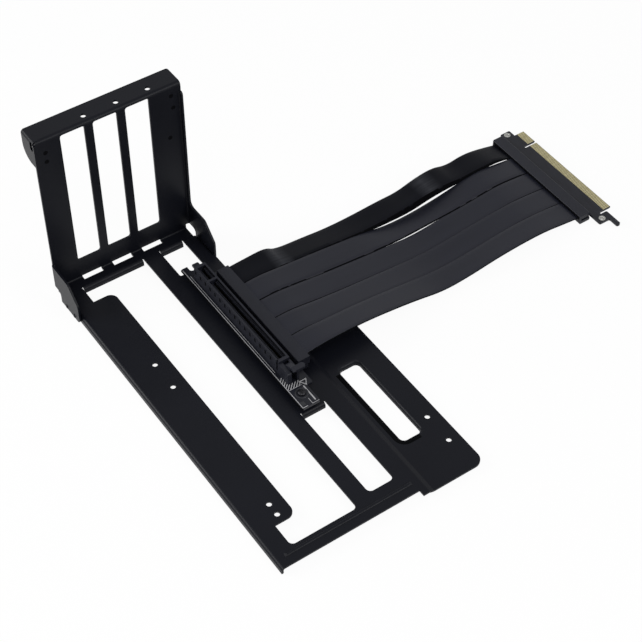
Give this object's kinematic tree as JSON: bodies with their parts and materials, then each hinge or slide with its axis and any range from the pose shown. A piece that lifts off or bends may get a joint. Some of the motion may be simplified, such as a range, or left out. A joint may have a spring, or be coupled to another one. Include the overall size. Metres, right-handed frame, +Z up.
{
  "type": "vertical gpu bracket",
  "caption": "Folded sheet-steel bracket that stands a graphics card upright, with card windows, screw flange, latched riser slot, ribbon cable and card-edge plug.",
  "frame": {"origin": "middle of the bracket's footprint, on the surface that it stands on", "axes": "+X along the base away from the upright, +Y across it towards the ribbon cable, +Z up"},
  "size_m": [0.2558, 0.3176, 0.1176],
  "materials": {
    "black_powder_coat": "satin powder coat",
    "black_board": "solder mask",
    "black_plastic": "moulded matte",
    "ribbon_jacket": "soft satin film",
    "gold_plate": "gold plated",
    "tin_plate": "tinned",
    "bright_steel": "zinc plated"
  },
  "bodies": {
    "bracket": {"bracket_frame": "black_powder_coat", "gusset_rivets": "black_powder_coat", "riser_board": "black_board", "plug_board": "black_board", "slot_housing": "black_plastic", "cable_clamp": "black_plastic", "plug_cover_top": "black_plastic", "plug_cover_bottom": "black_plastic", "slot_contacts": "gold_plate", "plug_eyelets": "tin_plate", "board_spacers": "bright_steel", "board_screws": "bright_steel", "ribbon_strip_1": "ribbon_jacket", "ribbon_strip_2": "ribbon_jacket", "ribbon_strip_3": "ribbon_jacket", "ribbon_strip_4": "ribbon_jacket", "ribbon_strip_5": "ribbon_jacket"},
    "latch": {"slot_latch": "black_plastic"}
  },
  "joints": [
    {"name": "latch_pivot", "type": "hinge", "parent": "bracket", "child": "latch", "pos_m": [0.02315, 0.0091, 0.0128], "axis": [0, 1, 0], "range_deg": [0, 25]}
  ]
}
